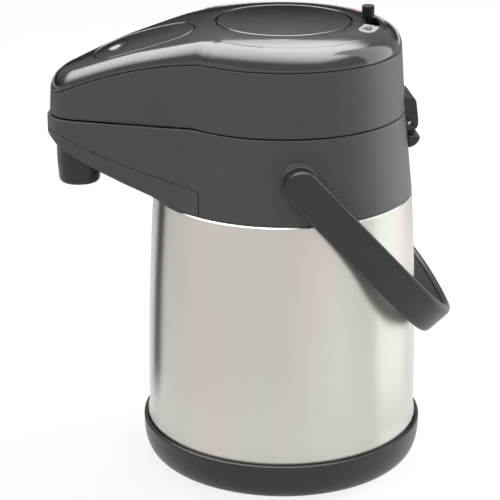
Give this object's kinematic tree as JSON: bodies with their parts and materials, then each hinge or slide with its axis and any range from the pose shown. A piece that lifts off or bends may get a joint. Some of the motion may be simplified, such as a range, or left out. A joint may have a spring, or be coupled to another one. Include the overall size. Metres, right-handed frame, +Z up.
{
  "type": "pump vacuum flask",
  "caption": "Steel pump vacuum flask with a hinged beak lid, push button, lock, latch tab, down-turned nozzle and a swinging bail handle.",
  "frame": {"origin": "centre of the foot pad's underside, on the floor", "axes": "+Z up along the flask's axis, -Y towards the beak, X along the handle's pivot"},
  "size_m": [0.1714, 0.232, 0.2683],
  "materials": {
    "steel_brushed": "satin, brushed",
    "steel_plain": "plain",
    "plastic_grey": "fine matte grain",
    "plastic_satin": "satin",
    "plastic_gloss": "gloss",
    "plastic_black": "satin",
    "plastic_white": "satin",
    "rubber_dark": "matte",
    "rubber_pale": "matte"
  },
  "bodies": {
    "flask": {"foot_pad": "rubber_dark", "base_cup": "plastic_black", "outer_shell": "steel_brushed", "inner_vessel": "steel_plain", "vessel_shoulder": "steel_plain", "vessel_neck": "steel_plain", "shoulder_collar": "plastic_grey", "spout_under_cover": "plastic_grey", "spout_nozzle": "plastic_black", "lift_tube": "steel_plain", "outlet_elbow": "plastic_white", "delivery_tube": "plastic_white", "neck_ring": "plastic_black", "mouth_gasket": "rubber_pale", "hinge_bracket": "plastic_black", "bracket_screws": "steel_plain", "latch_catch": "plastic_grey"},
    "lid": {"lid_shell": "plastic_grey", "top_cover": "plastic_gloss", "lid_base": "plastic_grey", "lid_gasket": "rubber_pale", "valve_disc": "rubber_pale", "bellows": "rubber_pale", "return_spring": "steel_plain", "button_guide": "plastic_grey", "hinge_knuckle": "plastic_black", "hinge_pin": "steel_plain", "knuckle_screws": "steel_plain", "latch_pin": "steel_plain"},
    "button": {"push_button": "plastic_gloss", "button_plunger": "plastic_grey"},
    "lock": {"lock_slider": "plastic_black"},
    "latch": {"latch_tab": "plastic_gloss"},
    "handle": {"handle": "plastic_satin", "grip_pad": "rubber_dark", "pivot_pins": "steel_plain", "pin_clips": "steel_plain"}
  },
  "joints": [
    {"name": "lid_hinge", "type": "hinge", "parent": "flask", "child": "lid", "pos_m": [0, 0.072, 0.2045], "axis": [-1, 0, 0], "range_deg": [0, 95]},
    {"name": "button_press", "type": "slide", "parent": "lid", "child": "button", "axis": [0, 0, -1], "range_m": [0, 0.02], "stiffness_N_per_m": 900, "springref_m": -0.012, "deforming": ["bellows", "return_spring"]},
    {"name": "lock_turn", "type": "hinge", "parent": "lid", "child": "lock", "pos_m": [0, 0, 0.255], "axis": [0, 0, -1], "range_deg": [0, 20]},
    {"name": "latch_rock", "type": "hinge", "parent": "lid", "child": "latch", "pos_m": [0, -0.07905, 0.24679], "axis": [1, 0, 0], "range_deg": [0, 3], "stiffness_Nm_per_rad": 2, "springref_deg": -2.86},
    {"name": "handle_swing", "type": "hinge", "parent": "flask", "child": "handle", "pos_m": [0, 0, 0.19], "axis": [1, 0, 0], "range_deg": [0, 185]}
  ]
}
